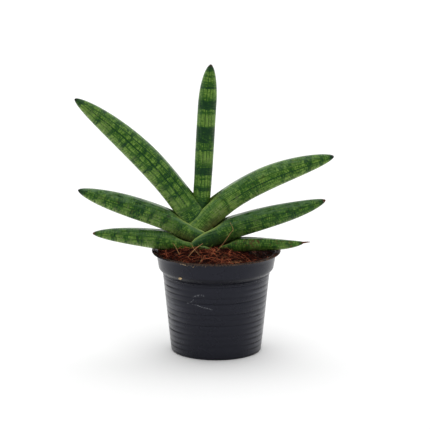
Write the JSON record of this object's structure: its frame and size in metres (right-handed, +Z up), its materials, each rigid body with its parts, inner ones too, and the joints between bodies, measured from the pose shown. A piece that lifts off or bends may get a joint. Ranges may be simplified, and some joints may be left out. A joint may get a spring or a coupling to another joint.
{
  "type": "potted snake plant",
  "caption": "Succulent houseplant: a flat fan of thick, round, banded leaves with clasping bases, rooted in coir in a thin ribbed nursery pot.",
  "frame": {"origin": "middle of the pot's flat underside", "axes": "+Z up along the pot's axis, +X to the right of the fan of leaves, +Y towards the back of the fan"},
  "size_m": [0.2189, 0.11, 0.2462],
  "materials": {
    "pot": "black injection-moulded polypropylene, satin",
    "coir": "moist reddish-brown coconut fibre and crumbs, dull",
    "stem": "pale living stem, dull",
    "leaf": "waxy succulent leaf, dark and light green bands, satin",
    "strand": "dry coconut fibre, dull"
  },
  "bodies": {
    "root": {"pot": "pot", "substrate": "coir", "crown": "stem", "leaf_centre": "leaf", "leaf_upper_left": "leaf", "leaf_upper_right": "leaf", "leaf_middle_left": "leaf", "leaf_middle_right": "leaf", "leaf_lower_left": "leaf", "leaf_lower_right": "leaf", "strand_leaning": "strand", "strand_thick": "strand", "strand_left": "strand", "strand_crossing": "strand"}
  },
  "joints": []
}
